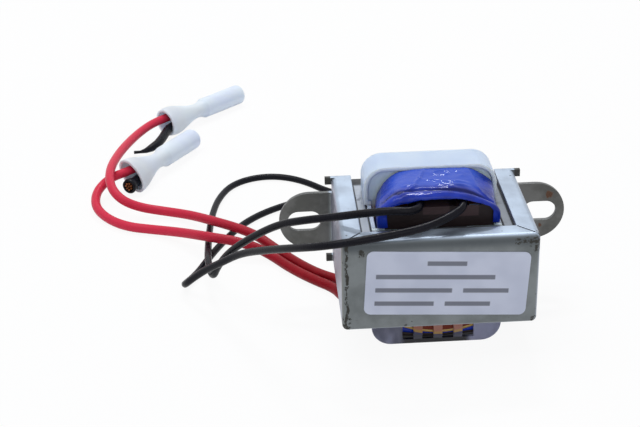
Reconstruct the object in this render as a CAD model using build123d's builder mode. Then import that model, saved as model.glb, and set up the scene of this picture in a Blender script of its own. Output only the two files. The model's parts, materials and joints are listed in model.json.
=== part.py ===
"""Open-frame mains transformer with flying leads, one part for each separate piece.

Millimetres. The origin lies on the floor under the middle of the body, X runs along the two
mounting ears, the label web looks to -Y, the ears lie in the rear plane and Z is up.
"""
import os
from math import cos, pi, radians, sin, tan

from build123d import *

# Core plates
plate_length = 41.0
plate_depth = 33.0
outer_leg = 6.0
centre_leg = 13.0
plate_pitch = 0.5
plate_varnish = 0.02
plate_count = 40
joint_gap = 0.05

# Folded frame
sheet = 1.0
lip = 4.6
bend = 1.2
inner_bend = 0.5
mitre_gap = 0.35
ear_span = 68.0
ear_height = 14.4
slot_pitch = 56.0
slot_length = 8.0
slot_width = 5.0
nub_height = 1.7
nub_reach = 1.5
relief_depth = 1.6

# Bobbin
tube_wall = 0.8
tube_side_gap = 0.15
tube_top_gap = 0.3
window_gap = 0.2
flange = 0.9
inner_flange_gap = 0.1
front_flange_width = 28.6
front_flange_corner = 4.0
foot_width = 29.3
foot_shift = 0.2
foot_gap = 0.3
foot_corner = 4.5
comb_width = 16.2
comb_height = 5.2
comb_shift = 0.6
rib_width = 2.0
rib_count = 3
rail = 1.0

# Hood over the primary
body_height = 38.4
hood_width = 30.0
hood_corner = 4.8
hood_wall = 0.9
hood_lap = 0.5
hood_ledge_gap = 0.15
side_wall_outer = 14.3
side_wall_gap = 0.125
side_wall_rise = 0.0
notch_bottom = 1.0
notch_top = 3.95
notch_depth = 4.2

# Windings and tapes
primary_width = 25.8
primary_length = 6.075
primary_headroom = 3.15
primary_corner = 4.0
primary_tape_thickness = 0.3
secondary_width = 25.3
secondary_headroom = 4.25
secondary_footroom = 2.0
secondary_corner = 6.5
tape_thickness = 0.35
tape_front_gap = 0.125
tape_rear_gap = 0.1
tape_crown_rise = 3.85
tape_rear_left = -6.5
tape_rear_right = 9.0
tape_rear_left_drop = 2.95
tape_rear_right_drop = 0.65
tape_front_left = -8.5
tape_front_right = 6.0
tape_front_left_drop = 0.2
tape_front_right_drop = 0.55
tape_shoulder_bend = 2.5
visor_reach = 0.875
visor_gap = 0.2

# Insulating sheet and splices
insulation = 0.15
insulation_left = -11.5
insulation_right = 12.5
insulation_gap = 0.1
insulation_fold = 8.125
insulation_top_left = -6.2
insulation_top_right = 6.9
splice_radius = 0.9
splice_length = 4.0
secondary_splice_inset = 3.325
secondary_splice_1 = -3.6
secondary_splice_2 = 5.6
primary_splice_radius = 1.25
primary_splice_left = -5.0
primary_splice_inset = 1.775
primary_splice_pitch = 3.0

# Label
label_width = 35.6
label_height = 15.5
label_corner = 1.5
label_thickness = 0.15
label_shift = 1.35
label_turn = -3.15

# Leads
red_diameter = 2.5
black_diameter = 1.8
tinned_radius = 0.55
tinned_length = 5.0
stub_1_diameter = 2.8
stub_2_diameter = 3.0
stub_core_radius = 0.8
stub_core_length = 1.0

# Crimp caps
cap_length = 33.0
cap_wall = 0.7
cap_skirt_at = 6.0
cap_neck_at = 12.5
cap_barrel_at = 16.5
cap_skirt_long = 3.9
cap_skirt_short = 2.7
cap_neck_radius = 2.25
cap_barrel_radius = 3.05
cap_tip_round = 1.0
cap_mouth_lean = 51.7
cavity_depth = 7.5
bore_radius = 1.45
bore_end = 18.5
ferrule_gap = 0.05
ferrule_wall = 0.35
ferrule_start = 7.8
ferrule_length = 9.6
strand_gap = 0.05
strand_start = 5.6
cap_1_mouth = (-65.9, 116.7, 4.1)
cap_1_heading = (22.5, 24.1, -1.0)
cap_1_long = 4.1
cap_1_short = 3.6
cap_2_mouth = (-73.7, 77.8, 4.6)
cap_2_heading = (16.4, 28.6, -1.5)
cap_2_long = 5.2
cap_2_short = 2.9

# Lead routes
red_1_points = [
    (-5, 8.2, 2.5), (-9.5, 8.2, 2.5), (-14.1, 8.6, 2.3), (-17.6, 12.1, 2), (-19.6, 18.8, 1.3),
    (-24.5, 23.8, 1.3), (-29.7, 30.3, 1.3), (-34.7, 38, 1.5), (-39.2, 42.5, 3.2),
    (-44.3, 47.7, 3.6), (-50.8, 52.8, 3.6), (-57.1, 57.4, 2.2), (-64, 61.2, 1.6),
    (-70.6, 61.8, 3), (-75.6, 62.4, 5.2), (-78.7, 66.4, 7.2), (-79.4, 76.2, 7.9),
    (-78.1, 91.3, 6.6), (-74.9, 104.2, 5.5), (-71.2, 111.4, 5.2), (-68.6, 115.1, 5.2),
    (-65.6, 118.4, 5.1), (-62.8, 121.3, 5),
]
red_2_points = [
    (-5, 5.2, 2.5), (-10, 5.2, 2.5), (-15.4, 5.7, 2.2), (-19.4, 9.4, 1.6), (-21.1, 14.9, 1.3),
    (-26.2, 20.1, 1.3), (-31.6, 26.8, 1.3), (-36.1, 33.8, 1.5), (-40.3, 36.7, 3.2),
    (-45.6, 39.2, 3.9), (-52, 40.2, 4.6), (-58.4, 45.5, 2.8), (-66.5, 51.3, 1.3),
    (-73.5, 54, 1.3), (-79, 59, 1.3), (-82.8, 65.3, 1.7), (-83.3, 70.8, 2.7),
    (-81.5, 75.2, 3.8), (-78.6, 77.1, 5.1), (-75.7, 77.7, 5.8), (-73.6, 80, 5.7), (-71.8, 83, 5.4),
]
black_1_points = [
    (-3.6, -6.4, 35.3), (-3.6, -9, 35.3), (-4.1, -11.8, 35.2), (-6.4, -13.4, 35.2),
    (-10.3, -13, 35.4), (-15.8, -10.6, 33.9), (-22.4, -7.4, 31.7), (-29, -4.1, 29.6),
    (-34.7, 1.5, 26.2), (-40.1, 6.8, 20.6), (-44.5, 11.2, 14.6), (-50.6, 15.4, 3.2),
    (-51.9, 28.5, 3.3), (-52.1, 38.7, 2.4), (-51.9, 50.3, 0.9), (-51.2, 59.4, 0.9),
    (-49.6, 68.6, 0.9), (-46.3, 76.6, 0.9), (-40.5, 81, 0.9), (-33.4, 81.8, 0.9),
    (-26.2, 77.5, 0.9), (-18.5, 72.2, 0.9), (-11, 65.5, 0.9), (-5.5, 57.5, 0.9),
    (-3, 48.5, 0.9), (-2.5, 40, 0.9),
]
black_2_points = [
    (5.6, -6.4, 35.3), (5.6, -9.2, 35.3), (5.3, -12, 34.9), (2.4, -13.8, 33.9), (-3.6, -16.8, 32.8),
    (-11.6, -18.2, 32.1), (-19.4, -19.4, 31.6), (-26.1, -17.5, 29.9), (-31.6, -11.4, 26.6),
    (-37.2, -2.7, 22.2), (-42.8, 6.2, 17), (-48.1, 11.4, 11.6), (-56.2, 15.6, 2.4),
    (-55.2, 27.5, 0.9), (-51.2, 35.6, 0.9), (-47.8, 43.6, 0.9), (-44.2, 50.7, 0.9),
    (-39.2, 57, 0.9), (-32.6, 62.1, 0.9), (-25.6, 65.4, 0.9), (-18.5, 65.6, 0.9),
    (-12.6, 61.5, 0.9), (-9.8, 54.5, 0.9), (-9.2, 46.5, 0.9), (-10.2, 38.5, 0.9), (-12.8, 31, 0.9),
]
stub_1_points = [
    (-61.4, 120, 2.6), (-64.4, 116.7, 2.6), (-66.7, 114, 2.5), (-67.6, 107.8, 2),
    (-70.1, 104.2, 1.6), (-72.3, 101.7, 1.5),
]
stub_2_points = [(-70.1, 82.1, 3), (-74.4, 74.2, 3.1)]

# Positions that follow from the sizes
stack = plate_pitch * plate_count
plate = plate_pitch - plate_varnish
core_middle = body_height / 2
core_bottom = core_middle - stack / 2
core_top = core_bottom + stack
frame_width = plate_length + 2 * sheet
frame_depth = plate_depth + sheet
frame_height = stack + 2 * sheet
frame_bottom = core_bottom - sheet
rear = (frame_depth + label_thickness) / 2
front = rear - frame_depth
core_front = rear - plate_depth
window_front = core_front + outer_leg
window_rear = rear - outer_leg
window_edge = plate_length / 2 - outer_leg
bobbin_front = window_front + window_gap
bobbin_rear = window_rear - window_gap
bobbin_length = bobbin_rear - bobbin_front
tube_width = centre_leg + 2 * tube_side_gap
tube_height = stack + tube_top_gap
tube_middle = core_bottom + tube_height / 2
tube_outer_width = tube_width + 2 * tube_wall
tube_outer_height = tube_height + 2 * tube_wall
inner_flange_width = hood_width - 2 * (hood_wall + inner_flange_gap)
inner_flange_height = body_height - 2 * (hood_wall + inner_flange_gap)
inner_flange_corner = hood_corner - hood_wall - inner_flange_gap
secondary_top = body_height - secondary_headroom
secondary_bottom = secondary_footroom
secondary_height = secondary_top - secondary_bottom
secondary_middle = (secondary_top + secondary_bottom) / 2
secondary_front = bobbin_front + flange
foot_height = frame_bottom - foot_gap
primary_rear = bobbin_rear - flange
primary_front = primary_rear - primary_length
primary_height = body_height - 2 * (hood_wall + primary_headroom)
primary_bottom = core_middle - primary_height / 2
middle_flange = primary_front - flange
hood_front = middle_flange - hood_lap
side_wall_front = secondary_front + side_wall_gap
tape_front = secondary_front + tape_front_gap
tape_rear = hood_front - tape_rear_gap
tape_crown = secondary_top + tape_crown_rise
tape_half = secondary_width / 2 + tape_thickness
tape_bottom = secondary_bottom - tape_thickness
visor_front = bobbin_front - visor_reach
visor_bottom = core_top + visor_gap
insulation_rear = bobbin_front + insulation_fold
secondary_splice_front = bobbin_front + secondary_splice_inset
secondary_splice_height = secondary_top + insulation + splice_radius
primary_splice_height = primary_bottom - primary_tape_thickness - primary_splice_radius
primary_splice_1 = primary_rear - primary_splice_inset
primary_splice_2 = primary_splice_1 - primary_splice_pitch
ledge_bottom = stack / 2 + hood_ledge_gap
ledge_top = ledge_bottom + hood_wall
far = 3 * plate_length


def section(y):
    """Plane across the body at y, with local x along X and local y up, extruded towards -Y."""
    return Plane(origin=(0, y, 0), x_dir=(1, 0, 0), z_dir=(0, -1, 0))


def e_points(yoke_face, yoke_inside, leg_end):
    """Outline of one E plate whose yoke lies between yoke_face and yoke_inside."""
    side = plate_length / 2
    middle = centre_leg / 2
    return [
        (-side, yoke_face), (side, yoke_face), (side, leg_end), (window_edge, leg_end),
        (window_edge, yoke_inside), (middle, yoke_inside), (middle, leg_end), (-middle, leg_end),
        (-middle, yoke_inside), (-window_edge, yoke_inside), (-window_edge, leg_end),
        (-side, leg_end), (-side, yoke_face),
    ]


def tape_section(y, left, right, left_drop, right_drop):
    """Solid section of the secondary tape: crown from left to right, two sloping shoulders, round bottom."""
    with BuildSketch(section(y)) as outline:
        with BuildLine():
            Polyline(
                (-tape_half, tape_bottom), (tape_half, tape_bottom),
                (tape_half, secondary_top - right_drop), (right, tape_crown), (left, tape_crown),
                (-tape_half, secondary_top - left_drop), (-tape_half, tape_bottom),
            )
        make_face()
        fillet(outline.vertices().sort_by(Axis.Y)[:2], secondary_corner + tape_thickness)
        fillet(outline.vertices().sort_by(Axis.Y)[-4:], tape_shoulder_bend)
    return outline.sketch


def tape_rear_section():
    return tape_section(tape_rear, tape_rear_left, tape_rear_right, tape_rear_left_drop, tape_rear_right_drop)


def tape_front_section(y):
    return tape_section(y, tape_front_left, tape_front_right, tape_front_left_drop, tape_front_right_drop)


def bend_radii(points):
    """Radius of the arc at each inner point of a lead, from its shorter run and its turn."""
    found = []
    for before, here, after in zip(points, points[1:], points[2:]):
        first = Vector(*here) - Vector(*before)
        second = Vector(*after) - Vector(*here)
        turn = radians(first.get_angle(second))
        found.append(0.45 * min(first.length, second.length) / tan(turn / 2))
    return found


def cap_plane(mouth, heading, along):
    """Plane across a crimp cap at a distance from its mouth, local x along the mouth's long axis."""
    axis = Vector(*heading).normalized()
    level = axis.cross(Vector(0, 0, 1)).normalized()
    up = level.cross(axis)
    lean = radians(cap_mouth_lean)
    return Plane(
        origin=Vector(*mouth) + axis * along,
        x_dir=level * cos(lean) - up * sin(lean),
        z_dir=axis,
    )


def end_plane(points):
    """Plane across the free end of a lead, looking out along its last run."""
    return Plane(origin=points[-1], z_dir=Vector(*points[-1]) - Vector(*points[-2]))


lower_planes = [Plane.XY.offset(core_bottom + k * plate_pitch) for k in range(0, plate_count, 2)]
upper_planes = [Plane.XY.offset(core_bottom + k * plate_pitch) for k in range(1, plate_count, 2)]

# E plates, alternate plates turned round
with BuildPart() as e_laminations:
    with BuildSketch(*upper_planes):
        with BuildLine():
            Polyline(*e_points(core_front, window_front, window_rear))
        make_face()
    with BuildSketch(*lower_planes):
        with BuildLine():
            Polyline(*e_points(rear, window_rear, window_front))
        make_face()
    extrude(amount=plate)

# I plates that close the E plates
with BuildPart() as i_laminations:
    with BuildSketch(*upper_planes):
        with Locations((0, rear - (outer_leg - joint_gap) / 2)):
            Rectangle(plate_length, outer_leg - joint_gap)
    with BuildSketch(*lower_planes):
        with Locations((0, core_front + (outer_leg - joint_gap) / 2)):
            Rectangle(plate_length, outer_leg - joint_gap)
    extrude(amount=plate)

# Folded frame with lips, mitred corners, slotted ears and corner nubs
with BuildPart() as mounting_frame:
    with BuildSketch(Plane.XY.offset(frame_bottom)):
        with Locations((0, (front + rear) / 2)):
            Rectangle(frame_width, frame_depth)
    extrude(amount=frame_height)
    top_rim = mounting_frame.faces().sort_by(Axis.Z)[-1].edges().sort_by(Axis.Y)[:-1]
    bottom_rim = mounting_frame.faces().sort_by(Axis.Z)[0].edges().sort_by(Axis.Y)[:-1]
    uprights = mounting_frame.edges().filter_by(Axis.Z).group_by(Axis.Y)[0]
    fillet(top_rim + bottom_rim + uprights, bend)
    with BuildSketch(Plane.XY.offset(core_bottom)):
        with Locations((0, core_front + far / 2)):
            Rectangle(plate_length, far)
    extrude(amount=stack, mode=Mode.SUBTRACT)
    with BuildSketch(Plane.XY.offset(frame_bottom - sheet)):
        with Locations((0, front + lip + far / 2)):
            Rectangle(frame_width - 2 * lip, far)
        mitre_middle = (lip + sheet) / 2
        mitre_length = (lip - sheet) * 1.3
        with Locations((frame_width / 2 - mitre_middle, front + mitre_middle)):
            Rectangle(mitre_length, mitre_gap, rotation=-45)
        with Locations((mitre_middle - frame_width / 2, front + mitre_middle)):
            Rectangle(mitre_length, mitre_gap, rotation=45)
    extrude(amount=frame_height + 2 * sheet, mode=Mode.SUBTRACT)
    ear_round = ear_height / 2
    ear_inside = plate_length / 2
    ear_straight = ear_span / 2 - ear_round - ear_inside
    with BuildSketch(section(rear)):
        with Locations((ear_inside + ear_straight / 2, core_middle), (-ear_inside - ear_straight / 2, core_middle)):
            Rectangle(ear_straight, ear_height)
        with Locations((ear_span / 2 - ear_round, core_middle), (ear_round - ear_span / 2, core_middle)):
            Circle(ear_round)
        with Locations((0, core_middle)):
            Rectangle(2 * ear_inside, 2 * ear_height, mode=Mode.SUBTRACT)
        nub_width = sheet + nub_reach
        nub_middle = (frame_height - nub_height) / 2
        with Locations((0, core_middle)):
            with GridLocations(2 * ear_inside + nub_width, 2 * nub_middle, 2, 2):
                Rectangle(nub_width, nub_height)
    extrude(amount=sheet)
    relief_height = frame_height / 2 - nub_height - ear_height / 2
    relief_middle = (ear_height + relief_height) / 2
    with BuildSketch(section(rear)):
        with Locations((0, core_middle)):
            with GridLocations(plate_length + sheet, 2 * relief_middle, 2, 2):
                Rectangle(2 * sheet, relief_height)
    extrude(amount=relief_depth, mode=Mode.SUBTRACT)
    with BuildSketch(section(rear)):
        with Locations((slot_pitch / 2, core_middle), (-slot_pitch / 2, core_middle)):
            SlotOverall(slot_length, slot_width)
    extrude(amount=sheet, mode=Mode.SUBTRACT)
    ear_edges = mounting_frame.edges().filter_by(Axis.Z).filter_by_position(
        Axis.Z, core_middle - 0.01, core_middle + 0.01
    )
    inside_bends = ear_edges.filter_by_position(Axis.Y, rear - sheet - 0.01, rear - sheet + 0.01)
    fillet(inside_bends.filter_by(lambda e: abs(e.center().X) < frame_width / 2 + 0.01), inner_bend)
    ear_edges = mounting_frame.edges().filter_by(Axis.Z).filter_by_position(
        Axis.Z, core_middle - 0.01, core_middle + 0.01
    )
    outside_bends = ear_edges.filter_by_position(Axis.Y, rear - 0.01, rear + 0.01)
    fillet(outside_bends.filter_by(lambda e: abs(e.center().X) < frame_width / 2), sheet + inner_bend)

# Bobbin: tube, three flanges and the comb under the front flange
with BuildPart() as bobbin:
    with BuildSketch(section(bobbin_rear)):
        with Locations((0, tube_middle)):
            Rectangle(tube_outer_width, tube_outer_height)
    extrude(amount=bobbin_length)
    with BuildSketch(section(bobbin_rear), section(primary_front)):
        with Locations((0, core_middle)):
            RectangleRounded(inner_flange_width, inner_flange_height, inner_flange_corner)
        window_side = side_wall_outer - hood_wall - inner_flange_gap + hood_width / 2
        with Locations((window_side, core_middle), (-window_side, core_middle)):
            Rectangle(hood_width, 2 * (ledge_top + inner_flange_gap), mode=Mode.SUBTRACT)
    extrude(amount=flange)
    with BuildSketch(section(secondary_front)) as front_flange:
        with Locations((foot_shift, foot_height / 2)):
            Rectangle(foot_width, foot_height)
        fillet(front_flange.vertices().sort_by(Axis.Y)[:2], foot_corner)
        with Locations((0, (foot_height / 2 + core_top) / 2)):
            Rectangle(front_flange_width, core_top - foot_height / 2)
        with Locations((0, (core_middle + secondary_top) / 2)):
            RectangleRounded(secondary_width, secondary_top - core_middle, front_flange_corner)
        with Locations((comb_shift, (rail + comb_height) / 2)):
            Rectangle(comb_width, comb_height - rail, mode=Mode.SUBTRACT)
            with GridLocations((comb_width + rib_width) / (rib_count + 1), 1, rib_count, 1):
                Rectangle(rib_width, comb_height - rail)
    extrude(amount=flange)
    with BuildSketch(section(bobbin_rear)):
        with Locations((0, tube_middle)):
            Rectangle(tube_width, tube_height)
    extrude(amount=bobbin_length, mode=Mode.SUBTRACT)

# Hood over the primary, with the side walls that line the core windows
with BuildPart() as coil_cover:
    with BuildSketch(section(bobbin_rear)):
        with Locations((0, core_middle)):
            RectangleRounded(hood_width, body_height, hood_corner)
        with Locations((side_wall_outer + hood_width / 2, core_middle), (-side_wall_outer - hood_width / 2, core_middle)):
            Rectangle(hood_width, 2 * ledge_bottom, mode=Mode.SUBTRACT)
    extrude(amount=bobbin_rear - hood_front)
    side_wall_inner = side_wall_outer - hood_wall
    with BuildSketch(section(bobbin_rear)):
        with Locations((0, core_middle)):
            RectangleRounded(hood_width - 2 * hood_wall, body_height - 2 * hood_wall, hood_corner - hood_wall)
        with Locations((side_wall_inner + hood_width / 2, core_middle), (-side_wall_inner - hood_width / 2, core_middle)):
            Rectangle(hood_width, 2 * ledge_top, mode=Mode.SUBTRACT)
    extrude(amount=bobbin_rear - hood_front, mode=Mode.SUBTRACT)
    side_wall_middle = side_wall_outer - hood_wall / 2
    with BuildSketch(section(hood_front)):
        with Locations((side_wall_middle, core_middle), (-side_wall_middle, core_middle)):
            Rectangle(hood_wall, stack + 2 * side_wall_rise)
    extrude(amount=hood_front - side_wall_front)
    with BuildSketch(section(bobbin_rear)):
        with Locations((-hood_width / 2, (notch_bottom + notch_top) / 2)):
            Rectangle(2 * notch_depth, notch_top - notch_bottom)
    extrude(amount=bobbin_rear - primary_front, mode=Mode.SUBTRACT)

# Primary winding and its tape
with BuildPart() as primary_winding:
    with BuildSketch(section(primary_rear)):
        with Locations((0, core_middle)):
            RectangleRounded(primary_width, primary_height, primary_corner)
        with Locations((0, tube_middle)):
            Rectangle(tube_outer_width, tube_outer_height, mode=Mode.SUBTRACT)
    extrude(amount=primary_rear - primary_front)

with BuildPart() as primary_tape:
    with BuildSketch(section(primary_rear)):
        with Locations((0, core_middle)):
            RectangleRounded(
                primary_width + 2 * primary_tape_thickness,
                primary_height + 2 * primary_tape_thickness,
                primary_corner + primary_tape_thickness,
            )
            RectangleRounded(primary_width, primary_height, primary_corner, mode=Mode.SUBTRACT)
    extrude(amount=primary_rear - primary_front)

# Joints between the primary and the red leads
with BuildPart() as primary_splices:
    with BuildSketch(Plane.YZ.offset(primary_splice_left)):
        with Locations((primary_splice_1, primary_splice_height), (primary_splice_2, primary_splice_height)):
            Circle(primary_splice_radius)
    extrude(amount=splice_length)

# Secondary winding and the blue tape with its visor over the lead exit
with BuildPart() as secondary_winding:
    with BuildSketch(section(middle_flange)):
        with Locations((0, secondary_middle)):
            RectangleRounded(secondary_width, secondary_height, secondary_corner)
        with Locations((0, tube_middle)):
            Rectangle(tube_outer_width, tube_outer_height, mode=Mode.SUBTRACT)
    extrude(amount=middle_flange - secondary_front)

with BuildPart() as secondary_tape:
    loft([tape_rear_section(), tape_front_section(tape_front)], ruled=True)
    extrude(tape_front_section(tape_front), amount=tape_front - visor_front)
    rear_inside = offset(tape_rear_section(), amount=-tape_thickness, mode=Mode.PRIVATE)
    front_inside = offset(tape_front_section(tape_front), amount=-tape_thickness, mode=Mode.PRIVATE)
    loft([rear_inside, front_inside], ruled=True, mode=Mode.SUBTRACT)
    extrude(front_inside, amount=tape_front - visor_front, mode=Mode.SUBTRACT)
    with BuildSketch(section(tape_front)):
        with Locations((0, visor_bottom / 2)):
            Rectangle(far, visor_bottom)
    extrude(amount=tape_front - visor_front, mode=Mode.SUBTRACT)

# Joints between the secondary and the black leads
with BuildPart() as secondary_splices:
    with BuildSketch(section(secondary_splice_front + splice_length)):
        with Locations(
            (secondary_splice_1, secondary_splice_height), (secondary_splice_2, secondary_splice_height)
        ):
            Circle(splice_radius)
    extrude(amount=splice_length)

# Dark insulating sheet, folded over the front flange under the black leads
with BuildPart() as lead_insulation:
    flap_room = offset(
        tape_front_section(bobbin_front), amount=-tape_thickness - insulation_gap, mode=Mode.PRIVATE
    )
    extrude(flap_room, amount=insulation)
    flap_top = secondary_top + insulation
    flap_bottom = core_top + insulation_gap
    with BuildSketch(section(bobbin_front)):
        with Locations(((insulation_left + insulation_right) / 2, (flap_top + flap_bottom) / 2)):
            Rectangle(insulation_right - insulation_left, flap_top - flap_bottom)
    extrude(amount=insulation, mode=Mode.INTERSECT)
    with BuildSketch(section(insulation_rear)):
        with Locations(((insulation_top_left + insulation_top_right) / 2, secondary_top + insulation / 2)):
            Rectangle(insulation_top_right - insulation_top_left, insulation)
    extrude(amount=insulation_rear - bobbin_front + insulation)

# Bare label on the web
with BuildPart() as label:
    with BuildSketch(section(front)):
        with Locations((label_shift, core_middle)):
            RectangleRounded(label_width, label_height, label_corner, rotation=label_turn)
    extrude(amount=label_thickness)

# Leads: straight runs joined by tangent arcs
with BuildPart() as red_lead_1:
    with BuildLine() as red_1_line:
        FilletPolyline(*red_1_points, radius=bend_radii(red_1_points))
    with BuildSketch(Plane(origin=red_1_line.line @ 0, z_dir=red_1_line.line % 0)):
        Circle(red_diameter / 2)
    sweep()

with BuildPart() as red_lead_2:
    with BuildLine() as red_2_line:
        FilletPolyline(*red_2_points, radius=bend_radii(red_2_points))
    with BuildSketch(Plane(origin=red_2_line.line @ 0, z_dir=red_2_line.line % 0)):
        Circle(red_diameter / 2)
    sweep()

with BuildPart() as black_lead_1:
    with BuildLine() as black_1_line:
        FilletPolyline(*black_1_points, radius=bend_radii(black_1_points))
    with BuildSketch(Plane(origin=black_1_line.line @ 0, z_dir=black_1_line.line % 0)):
        Circle(black_diameter / 2)
    sweep()

with BuildPart() as black_lead_2:
    with BuildLine() as black_2_line:
        FilletPolyline(*black_2_points, radius=bend_radii(black_2_points))
    with BuildSketch(Plane(origin=black_2_line.line @ 0, z_dir=black_2_line.line % 0)):
        Circle(black_diameter / 2)
    sweep()

# Tinned tips of the black leads
with BuildPart() as tinned_ends:
    with BuildSketch(end_plane(black_1_points), end_plane(black_2_points)):
        Circle(tinned_radius)
    extrude(amount=tinned_length)

# Closed-end crimp caps: flared mouth, pinched neck and round barrel
with BuildPart() as crimp_cap_1:
    with BuildSketch(cap_plane(cap_1_mouth, cap_1_heading, 0)):
        Ellipse(cap_1_long, cap_1_short)
    with BuildSketch(cap_plane(cap_1_mouth, cap_1_heading, cap_skirt_at)):
        Ellipse(cap_skirt_long, cap_skirt_short)
    with BuildSketch(cap_plane(cap_1_mouth, cap_1_heading, cap_neck_at)):
        Circle(cap_neck_radius)
    with BuildSketch(cap_plane(cap_1_mouth, cap_1_heading, cap_barrel_at)):
        Circle(cap_barrel_radius)
    loft()
    with BuildSketch(cap_plane(cap_1_mouth, cap_1_heading, cap_barrel_at)):
        Circle(cap_barrel_radius)
    extrude(amount=cap_length - cap_barrel_at)
    cap_1_tip = cap_plane(cap_1_mouth, cap_1_heading, cap_length).origin
    fillet(crimp_cap_1.edges().filter_by(GeomType.CIRCLE).sort_by_distance(cap_1_tip)[0], cap_tip_round)
    with BuildSketch(cap_plane(cap_1_mouth, cap_1_heading, 0)):
        Ellipse(cap_1_long - cap_wall, cap_1_short - cap_wall)
    with BuildSketch(cap_plane(cap_1_mouth, cap_1_heading, cap_skirt_at)):
        Ellipse(cap_skirt_long - cap_wall, cap_skirt_short - cap_wall)
    with BuildSketch(cap_plane(cap_1_mouth, cap_1_heading, cavity_depth)):
        Circle(bore_radius)
    loft(mode=Mode.SUBTRACT)
    with BuildSketch(cap_plane(cap_1_mouth, cap_1_heading, cavity_depth)):
        Circle(bore_radius)
    extrude(amount=bore_end - cavity_depth, mode=Mode.SUBTRACT)

with BuildPart() as crimp_cap_2:
    with BuildSketch(cap_plane(cap_2_mouth, cap_2_heading, 0)):
        Ellipse(cap_2_long, cap_2_short)
    with BuildSketch(cap_plane(cap_2_mouth, cap_2_heading, cap_skirt_at)):
        Ellipse(cap_skirt_long, cap_skirt_short)
    with BuildSketch(cap_plane(cap_2_mouth, cap_2_heading, cap_neck_at)):
        Circle(cap_neck_radius)
    with BuildSketch(cap_plane(cap_2_mouth, cap_2_heading, cap_barrel_at)):
        Circle(cap_barrel_radius)
    loft()
    with BuildSketch(cap_plane(cap_2_mouth, cap_2_heading, cap_barrel_at)):
        Circle(cap_barrel_radius)
    extrude(amount=cap_length - cap_barrel_at)
    cap_2_tip = cap_plane(cap_2_mouth, cap_2_heading, cap_length).origin
    fillet(crimp_cap_2.edges().filter_by(GeomType.CIRCLE).sort_by_distance(cap_2_tip)[0], cap_tip_round)
    with BuildSketch(cap_plane(cap_2_mouth, cap_2_heading, 0)):
        Ellipse(cap_2_long - cap_wall, cap_2_short - cap_wall)
    with BuildSketch(cap_plane(cap_2_mouth, cap_2_heading, cap_skirt_at)):
        Ellipse(cap_skirt_long - cap_wall, cap_skirt_short - cap_wall)
    with BuildSketch(cap_plane(cap_2_mouth, cap_2_heading, cavity_depth)):
        Circle(bore_radius)
    loft(mode=Mode.SUBTRACT)
    with BuildSketch(cap_plane(cap_2_mouth, cap_2_heading, cavity_depth)):
        Circle(bore_radius)
    extrude(amount=bore_end - cavity_depth, mode=Mode.SUBTRACT)

# Metal sleeves and crimped strands inside the caps
ferrule_radius = bore_radius - ferrule_gap
strand_radius = ferrule_radius - ferrule_wall - strand_gap
with BuildPart() as crimp_ferrules:
    with BuildSketch(
        cap_plane(cap_1_mouth, cap_1_heading, ferrule_start), cap_plane(cap_2_mouth, cap_2_heading, ferrule_start)
    ):
        Circle(ferrule_radius)
        Circle(ferrule_radius - ferrule_wall, mode=Mode.SUBTRACT)
    extrude(amount=ferrule_length)

with BuildPart() as crimped_strands:
    with BuildSketch(
        cap_plane(cap_1_mouth, cap_1_heading, strand_start), cap_plane(cap_2_mouth, cap_2_heading, strand_start)
    ):
        Circle(strand_radius)
    extrude(amount=ferrule_start + ferrule_length - strand_start)

# Cut black stubs that leave the caps, and the copper at their ends
with BuildPart() as cut_lead_1:
    with BuildLine() as stub_1_line:
        FilletPolyline(*stub_1_points, radius=bend_radii(stub_1_points))
    with BuildSketch(Plane(origin=stub_1_line.line @ 0, z_dir=stub_1_line.line % 0)):
        Circle(stub_1_diameter / 2)
    sweep()

with BuildPart() as cut_lead_2:
    with BuildLine() as stub_2_line:
        Line(*stub_2_points)
    with BuildSketch(Plane(origin=stub_2_line.line @ 0, z_dir=stub_2_line.line % 0)):
        Circle(stub_2_diameter / 2)
    sweep()

with BuildPart() as cut_strands:
    with BuildSketch(end_plane(stub_1_points), end_plane(stub_2_points)):
        Circle(stub_core_radius)
    extrude(amount=stub_core_length)

os.makedirs("parts", exist_ok=True)
pieces = {
    "mounting_frame": mounting_frame,
    "e_laminations": e_laminations,
    "i_laminations": i_laminations,
    "bobbin": bobbin,
    "coil_cover": coil_cover,
    "primary_winding": primary_winding,
    "primary_tape": primary_tape,
    "primary_splices": primary_splices,
    "secondary_winding": secondary_winding,
    "secondary_tape": secondary_tape,
    "secondary_splices": secondary_splices,
    "lead_insulation": lead_insulation,
    "label": label,
    "red_lead_1": red_lead_1,
    "red_lead_2": red_lead_2,
    "black_lead_1": black_lead_1,
    "black_lead_2": black_lead_2,
    "tinned_ends": tinned_ends,
    "crimp_cap_1": crimp_cap_1,
    "crimp_cap_2": crimp_cap_2,
    "crimp_ferrules": crimp_ferrules,
    "crimped_strands": crimped_strands,
    "cut_lead_1": cut_lead_1,
    "cut_lead_2": cut_lead_2,
    "cut_strands": cut_strands,
}
for name, piece in pieces.items():
    piece.part.label = name
    export_step(piece.part, f"parts/{name}.step")

# Arc radii, lengths and tube volumes of the leads
leads = {
    "red_lead_1": (red_lead_1, red_1_line, red_1_points, red_diameter),
    "red_lead_2": (red_lead_2, red_2_line, red_2_points, red_diameter),
    "black_lead_1": (black_lead_1, black_1_line, black_1_points, black_diameter),
    "black_lead_2": (black_lead_2, black_2_line, black_2_points, black_diameter),
    "cut_lead_1": (cut_lead_1, stub_1_line, stub_1_points, stub_1_diameter),
}
for name, (piece, line, points, diameter) in leads.items():
    length = sum(edge.length for edge in line.line.edges())
    expected = length * pi * diameter * diameter / 4
    print(name, "length", round(length, 1), "volume over section x length", round(piece.part.volume / expected, 4))
    print("  arc radii", [round(r, 1) for r in bend_radii(points)])
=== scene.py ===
"""Open-frame mains transformer with flying leads: looks, loose leads, wrinkled tape and studio."""
import json
import math
import random

import bmesh
import bpy
from mathutils import Matrix, Vector, noise


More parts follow.
